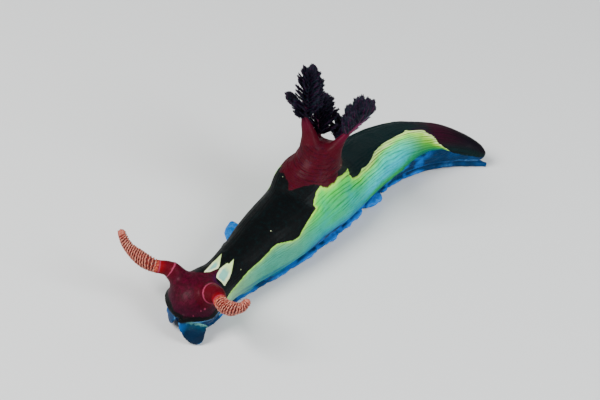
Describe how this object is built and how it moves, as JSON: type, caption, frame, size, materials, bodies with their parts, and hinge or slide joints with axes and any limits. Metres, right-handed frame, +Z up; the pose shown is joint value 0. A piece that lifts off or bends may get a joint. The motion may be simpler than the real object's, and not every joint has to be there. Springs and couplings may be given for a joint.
{
  "type": "nembrotha sea slug model",
  "caption": "Life-size still model of a crawling nembrotha sea slug with ringed rhinophores, a feathered gill on the back and a ruffled foot.",
  "frame": {"origin": "on the floor, in the flat of the sole under the body's middle", "axes": "+Z up, -Y the way the head faces, +X the animal's left, towards which its tail bends"},
  "size_m": [0.0201, 0.0557, 0.0211],
  "materials": {
    "maroon_skin": "wet maroon skin, darker at the margins",
    "black_skin": "wet near-black skin",
    "flank_skin": "wet pale green skin with fine lengthwise wrinkles",
    "crimson_skin": "wet crimson skin with fine folds",
    "blue_foot": "wet deep blue foot margin, paler at its edge",
    "salmon_lamellae": "salmon plates with pale edges",
    "purple_gill": "purple-black gill with crimson stems"
  },
  "bodies": {
    "root": {"head": "maroon_skin", "neck": "black_skin", "body_front": "black_skin", "body_middle": "black_skin", "body_rear": "flank_skin", "tail": "maroon_skin", "foot_front": "blue_foot", "foot_middle": "blue_foot", "foot_rear": "blue_foot", "oral_tentacle_left": "blue_foot", "oral_tentacle_right": "blue_foot", "rhinophore_left_stalk": "crimson_skin", "rhinophore_right_stalk": "crimson_skin", "rhinophore_left_club": "salmon_lamellae", "rhinophore_right_club": "salmon_lamellae", "gill_base": "crimson_skin", "gill_right": "purple_gill", "gill_left": "purple_gill", "gill_rear_right": "purple_gill", "gill_rear": "purple_gill"}
  },
  "joints": []
}
